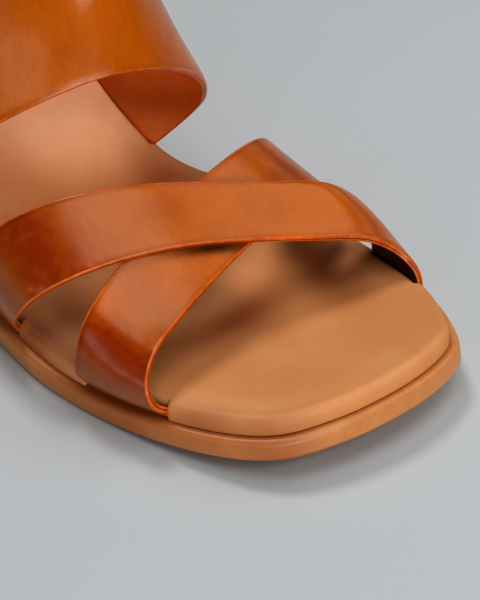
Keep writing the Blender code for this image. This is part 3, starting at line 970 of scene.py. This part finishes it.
# Dust and a painted reflection of the floor low on the outer foot, and a painted sheen on the shoulder.
UNDER_DUST_AND_SHEEN = (
    Mark("low on the outer foot", 121.0, 12.0, 4.0, 5.5, 60.0, 0.55),
    Mark("painted sheen on the shoulder", 100.0, 12.0, 0.0, 6.0, 60.0, 0.24),
)
# Painted shadow: a dark, dull line on the under strap below the over strap's standing-off edge.
UNDER_PAINTED_SHADOW = (
    Mark("painted shadow under the over strap", 77.5, 14.0, -35.5, 12.0, 1.4, -0.85),
)
under_strap = strip_piece(
    "under_strap",
    Strap(Line(182.5, 219.0, 2.0, 0.0, 2.5), Line(158.5, 197.0, 6.5, 0.0, 4.3)),
    SHADED_VAMP_LINING,
    creases=UNDER_CREASES,
    painted_shade_and_patches=UNDER_PAINTED_SHADE_AND_PATCHES,
    scuffs_and_shadow=UNDER_PAINTED_SHADOW,
    dust_and_sheen=UNDER_DUST_AND_SHEEN,
)
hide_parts("vamp_straps")
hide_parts("vamp_straps")
print("vamp straps made")

# %% [markdown]
# ## The instep band
#
# One wide band holds the instep. It is the same strip, wider, on the higher arch behind the ball. Its
# inner flank stands a little fuller than the arch, and one shoulder has a faint painted shade where it
# faces the dim room.

# %% Instep band
BAND_CREASES = (
    Mark("fuller inner flank", 22.0, 54.0, 0.0, 12.0, 16.0, -1.6),
)
# Painted shade on the inner shoulder, which faces the dim room.
BAND_PAINTED_SHADE = (
    Mark("inner shoulder", 78.0, 46.0, 0.0, 12.0, 25.0, 0.2),
)
instep_band = strip_piece(
    "band_over_instep",
    Strap(Line(130.0, 109.5, 8.7, 0.0, 0.0), Line(76.0, 56.0, 6.0, 0.0, 0.0)),
    LIT_BAND_LINING,
    creases=BAND_CREASES,
    painted_shade_and_patches=BAND_PAINTED_SHADE,
)
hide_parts("instep_band")
print("instep band made")

# %% [markdown]
# ## The padded footbed
#
# The footbed is a board with thin foam under its leather, which is turned over the edge and glued
# below, so its edge is rolled and its top is a little crowned. Where a strap's end folds under it,
# the footbed is cut back close round the strap. Painted shadows of the straps and the band darken the
# leather under the toes, on the tread, at the waist and behind the over strap. Painted shade darkens
# the outer rim between the straps and the rolled edge at the outer toe corner. These marks lie on the
# flat pattern, by station and offset.

# %% Padded footbed
FOOTBED_TOP_RADIUS = 2.2
FOOTBED_LOW_RADIUS = 0.3
SEAM = 0.05
CROWN_DROP = 0.5
CROWN_REACH = EDGE_ZONE
RECESS_DEPTH = FOOT_INSET + GAP
RECESS_LIFT = STRAP_THICKNESS + GAP
RECESS_RAMP = 0.8
RECESS_ROOM = 2.5
RECESS_REACH = TAIL_LENGTH + RECESS_ROOM

Feet = namedtuple("Feet", "inner_back inner_front outer_back outer_front")
FEET = (
    Feet(201.5, 222.0, 144.6, 168.2),
    Feet(158.5, 182.5, 192.7, 216.5),
    Feet(76.0, 130.0, 56.0, 109.5),
)
# Painted shadows of the straps and the band, and painted shade on the rim facing away from the light.
FOOTBED_PAINTED_SHADE = (
    Mark("under the toes", 202.0, -4.0, 90.0, 18.0, 7.0, 0.75),
    Mark("inner tread", 202.0, 26.0, -14.0, 14.0, 6.5, 0.65),
    Mark("outer tread", 172.0, -26.0, 0.0, 9.0, 8.0, 0.35),
    Mark("outer rim between the straps", 174.0, -41.0, 0.0, 9.0, 3.5, 0.85),
    Mark("inner waist", 143.0, 20.0, 0.0, 11.0, 9.0, 0.6),
    Mark("behind the over strap", 139.0, -4.0, 75.0, 26.0, 6.0, 0.3),
    Mark("rolled edge by the little toe", 226.0, -32.0, 27.0, 13.0, 2.6, 0.4),
    Mark("rolled edge at the toe corner", 240.5, -22.0, 55.0, 9.0, 2.6, 0.34),
)


def strap_window(loop):
    """1 at the points of the loop where a strap goes under, 0 elsewhere, with short ramps."""
    station = loop[:, 0]
    inner = np.arange(len(loop)) <= SIDE_POINTS
    window = np.zeros(len(loop))
    for feet in FEET:
        back = np.where(inner, feet.inner_back, feet.outer_back)
        front = np.where(inner, feet.inner_front, feet.outer_front)
        into = np.minimum(station - back, front - station) / RECESS_RAMP
        window = np.maximum(window, smooth_step(into))
    return window


def footbed_grid():
    """The footbed: a rolled slab carried round its outline, cut back where a strap goes under, with
    its top dropping a little towards the edge, and bent over the bottom line."""
    window = strap_window(FOOTBED_LOOP)
    low = OUTSOLE_THICKNESS + SEAM
    inset, height, drawn_in = slab_section(low, FOOTBED_TOP - low, FOOTBED_LOW_RADIUS, FOOTBED_TOP_RADIUS)
    depth = np.where(drawn_in > 0, EDGE_ZONE + drawn_in * EDGE_ZONE, inset)[:, None]
    cut_back = RECESS_DEPTH * window * np.clip(1 - depth / EDGE_ZONE, 0, 1)
    flat = carried_round(FOOTBED_LOOP, inset[:, None] + cut_back, drawn_in)
    below = np.clip((FOOTBED_TOP - height) / FOOTBED_THICKNESS, 0, 1)[:, None]
    crown = CROWN_DROP * smooth_step(1 - depth / CROWN_REACH) * (1 - below)
    lift = RECESS_LIFT * window * smooth_step((RECESS_REACH - depth) / RECESS_RAMP)
    raised = np.maximum(height[:, None], FOOTBED_LOW + lift) - crown
    return bend(flat[..., 0], flat[..., 1], raised) + SHIFT, flat


footbed_points, footbed_flat = footbed_grid()
painted_shade_level = marked(FOOTBED_PAINTED_SHADE, footbed_flat[..., 0], footbed_flat[..., 1])
footbed = grid_piece("footbed_cover", footbed_points, [FOOTBED_LEATHER], measures={"painted_shade_level": painted_shade_level})
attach(footbed, "root")
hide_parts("footbed")

# %% [markdown]
# ## The block heel
#
# The heel is a leather-covered block under the heel seat, a little smaller at the floor than at
# the seat. It is ruled: straight lines run from the base's outline to the seat's, and the plane of
# the seat cuts them off.

# %% Block heel
HEEL_LENGTH = 48.0
HEEL_INSET = 1.6
HEEL_TAPER = 0.86
HEEL_BASE_FORWARD = 3.0
HEEL_TRIM = 5.0
HEEL_CORNER = 1.0
HEEL_ROUND = 0.9
HEEL_POINTS = 480
HEEL_ROWS = 24
HEEL_END_RINGS = 6


def heel_plan():
    """The heel's outline at the seat, in world x and y: the sole's outline, moved in and cut off
    straight at the breast, with its corners blurred round."""
    loop = moved_outline(SOLE_LOOP, -HEEL_INSET)
    inner = loop[: SIDE_POINTS + 1]
    outer = np.vstack([loop[SIDE_POINTS:], loop[:1]])
    inner = inner[inner[:, 0] < HEEL_LENGTH]
    outer = outer[outer[:, 0] < HEEL_LENGTH]
    ends = np.array([(HEEL_LENGTH, offset) for offset in sides(loop, HEEL_LENGTH)])
    drawn = np.vstack([inner, ends, outer, inner[:1]])
    even = evenly(drawn, HEEL_POINTS)[:-1]
    even = faired(even, HEEL_CORNER)
    return bend(even[:, 0], even[:, 1], 0.0)


def heel_grid():
    """Ruled lines from the base to the seat, with both ends rounded and closed at the middle."""
    seat_line = heel_plan()
    top = seat_line[:, 2].max() + HEEL_TRIM
    middle_x = (seat_line[:, 0].max() + seat_line[:, 0].min()) / 2
    base = seat_line[:, :2] * HEEL_TAPER
    base[:, 0] += middle_x * (1 - HEEL_TAPER) + HEEL_BASE_FORWARD
    low = np.column_stack([base, 0 * base[:, 0]])
    high = np.column_stack([seat_line[:, :2], 0 * base[:, 0] + top])
    slope = math.radians(HEEL_SEAT_SLOPE)
    plane = np.array([math.sin(slope), 0.0, math.cos(slope)])
    seat = bend(HEEL_LENGTH / 2, 0.0, -GAP)
    share = ((seat - low) @ plane) / ((high - low) @ plane)
    high = low + (high - low) * share[:, None]
    length = np.linalg.norm(high - low, axis=1).mean()
    rounding = HEEL_ROUND / length
    up = np.concatenate([
        rounding * (1 - np.cos(QUARTER)),
        np.linspace(rounding, 1 - rounding, HEEL_ROWS)[1:-1],
        1 - rounding * (1 - np.sin(QUARTER)),
    ])
    pulled = np.concatenate([
        HEEL_ROUND * (1 - np.sin(QUARTER)),
        np.zeros(HEEL_ROWS - 2),
        HEEL_ROUND * (1 - np.cos(QUARTER)),
    ])
    rows = low + (high - low) * up[:, None, None]
    centre = rows.mean(axis=1, keepdims=True)
    rows = rows + unit(centre - rows) * pulled[:, None, None]
    closing = rows.mean(axis=1, keepdims=True)
    spread = np.linspace(0, 1, HEEL_END_RINGS, endpoint=False)[:, None, None]
    bottom = closing[:1] + (rows[:1] - closing[:1]) * spread
    lid = closing[-1:] + (rows[-1:] - closing[-1:]) * spread[::-1]
    return np.concatenate([bottom, rows, lid]) + SHIFT


heel = grid_piece("heel_leather", heel_grid(), [SOLE_LEATHER])
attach(heel, "root")
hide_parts("heel_block")

# %% [markdown]
# ## Floor and room
#
# The sandal stands on a plain floor of pale painted board, slightly cool and so wide that its edge
# stays out of the picture from low down too. A faint even light stands for the walls of a dim room.
# The picture is developed with a firm contrast, which deepens the browns of the leather.

# %% Floor and room
FLOOR_SIZE = 9.0
FLOOR_PAINT = "#C1C4C6"
FLOOR_ROUGHNESS = 0.7
ROOM_COLOUR = "#C9CDD2"
ROOM_BRIGHTNESS = 0.02


def pale_floor():
    """A flat square of painted board."""
    half = FLOOR_SIZE / 2
    corners = [(-half, -half, 0), (half, -half, 0), (half, half, 0), (-half, half, 0)]
    mesh = bpy.data.meshes.new("floor")
    mesh.from_pydata(corners, [], [(0, 1, 2, 3)])
    finish, shader = new_finish("painted board")
    set_inputs(finish, shader, {"Base Color": linear(FLOOR_PAINT), "Roughness": FLOOR_ROUGHNESS})
    mesh.materials.append(finish)
    floor = bpy.data.objects.new("floor", mesh)
    bpy.context.scene.collection.objects.link(floor)
    floor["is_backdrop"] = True
    return floor


pale_floor()
room = bpy.data.worlds.new("dim room")
room.use_nodes = True
set_inputs(room, room.node_tree.nodes["Background"], (linear(ROOM_COLOUR), ROOM_BRIGHTNESS))
bpy.context.scene.world = room
bpy.context.scene.view_settings.view_transform = "Standard"
bpy.context.scene.view_settings.look = "High Contrast"
print("floor is", FLOOR_SIZE, "m wide, with the look", bpy.context.scene.view_settings.look)

# %% [markdown]
# ## White cards
#
# Waxed leather shows what stands round it, so white cards are hung where it should shine: overhead for
# the broad sheen on both straps, in front for the toe, and dim ones at the sides. A small bright card
# behind casts the straps' shadows forward on the footbed. A narrow spread on the low front card keeps
# its glare off the floor. Between the cards the leather mirrors a dim room and looks red-brown.

# %% Cards
FOREFOOT = (0.06, 0.0, 0.02)

Card = namedtuple(
    "Card",
    "round_from_toe up distance width height brightness turned spread colour",
    defaults=(0.0, 180.0, "#FFFFFF"),
)
CARDS = {
    "key from behind": Card(168.0, 61.0, 1.3, 0.32, 0.32, 13.0),
    "overhead card": Card(-12.0, 79.5, 1.1, 0.79, 0.60, 1.85, turned=21.0, colour="#F5FAFD"),
    "inner card": Card(84.0, 47.0, 1.1, 0.65, 0.65, 1.2, colour="#FFFDF8"),
    "far card": Card(112.0, 14.0, 1.2, 0.90, 0.30, 0.4),
    "low front card": Card(-20.0, 10.0, 1.1, 1.30, 0.26, 0.95, spread=70.0),
    "front card": Card(0.0, 45.0, 1.1, 0.50, 0.30, 4.6),
    "outer card": Card(-74.0, 22.0, 1.1, 0.95, 0.24, 1.5),
}


def hung(name, lamp, aim, row):
    """A light at a distance from its aim, in a direction round from the toe and up from the floor,
    facing the aim and turned about that direction."""
    round_from_toe, up = math.radians(row.round_from_toe), math.radians(row.up)
    towards = Vector((math.cos(round_from_toe), math.sin(round_from_toe), 0)) * math.cos(up)
    towards.z = math.sin(up)
    lamp.color = linear(row.colour)[:3]
    holder = bpy.data.objects.new(name, lamp)
    holder.location = Vector(aim) + towards * row.distance
    turned = Quaternion((0, 0, 1), math.radians(row.turned))
    holder.rotation_euler = ((-towards).to_track_quat("-Z", "Y") @ turned).to_euler()
    bpy.context.scene.collection.objects.link(holder)
    return holder


def hung_card(name, row):
    """A flat soft light over the forefoot. Its power is its brightness times pi times its area."""
    lamp = bpy.data.lights.new(name, "AREA")
    lamp.shape = "RECTANGLE"
    lamp.size, lamp.size_y = row.width, row.height
    lamp.energy = row.brightness * math.pi * row.width * row.height
    lamp.spread = math.radians(row.spread)
    return hung(name, lamp, FOREFOOT, row)


cards = [hung_card(name, row) for name, row in CARDS.items()]
print("cards hung:", len(cards))

# %% [markdown]
# ## Narrow spots
#
# The footbed lies deep under the band and the straps, where no card reaches. Three narrow spots,
# lamps in a tube, light it there. The widest, cool as a window, is kept to the footbed by light
# linking, because the band would cut its light off in a hard line.

# %% Spots
SPOT_BLEND = 0.9
SPOT_RADIUS = 0.005

Spot = namedtuple(
    "Spot", "aim round_from_toe up distance cone brightness turned colour", defaults=(0.0, "#FFFFFF")
)
SPOTS = {
    "spot under the band": Spot((-0.018, 0.012, 0.031), 0.0, 55.0, 1.0, 4.2, 2.2, colour="#BCD6FF"),
    "spot under the crossing": Spot((0.056, 0.017, 0.0105), -15.0, 25.0, 1.0, 1.4, 2.0),
    "spot between the straps": Spot((0.044, -0.021, 0.0105), -39.0, 39.0, 0.8, 1.0, 1.0),
}


def hung_spot(name, row):
    """A lamp in a tube. Its power is what it gives at its aim, times a whole sphere at that distance."""
    lamp = bpy.data.lights.new(name, "SPOT")
    lamp.energy = row.brightness * 4 * math.pi * row.distance**2
    lamp.spot_size = math.radians(row.cone)
    lamp.spot_blend = SPOT_BLEND
    lamp.shadow_soft_size = SPOT_RADIUS
    return hung(name, lamp, row.aim, row)


def kept_to(holder, piece):
    """Keeps a light to one piece: no other piece is lit by it or casts a shadow in it."""
    reach = bpy.data.collections.new(holder.name + " reach")
    reach.objects.link(piece)
    holder.light_linking.receiver_collection = reach
    holder.light_linking.blocker_collection = reach


spots = {name: hung_spot(name, row) for name, row in SPOTS.items()}
kept_to(spots["spot under the band"], footbed)
print("spots hung:", len(spots))

# %% [markdown]
# ## Camera
#
# A long lens looks down on the forefoot from the outer side, close enough that the heel and the
# back of the band fall outside the picture.

# %% Camera
EYE = Vector((0.39559, -0.27953, 0.36103))
FORWARD = Vector((-0.589229, 0.509153, -0.627353))
UP = Vector((-0.481321, 0.402449, 0.778695))
LENS = 139.48
SENSOR = 36.0

camera = bpy.data.objects.new("camera", bpy.data.cameras.new("camera"))
camera.data.lens = LENS
camera.data.sensor_width = SENSOR
turned = Matrix((FORWARD.cross(UP), UP, -FORWARD)).transposed().to_4x4()
turned.translation = EYE
camera.matrix_world = turned
bpy.context.scene.collection.objects.link(camera)
bpy.context.scene.camera = camera
print("camera at", [round(v, 3) for v in EYE], "with a", LENS, "mm lens")

# %% [markdown]
# ## Sizes
#
# Both boxes are printed, the imported sandal's and the dressed one's. The dressed sandal has to
# fill the same box as the imported one.

# %% Sizes
visual_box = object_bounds()
for title, (low, high) in {"packed": cad_box, "dressed": visual_box}.items():
    print(title, "size:", [round(v, 4) for v in high - low])
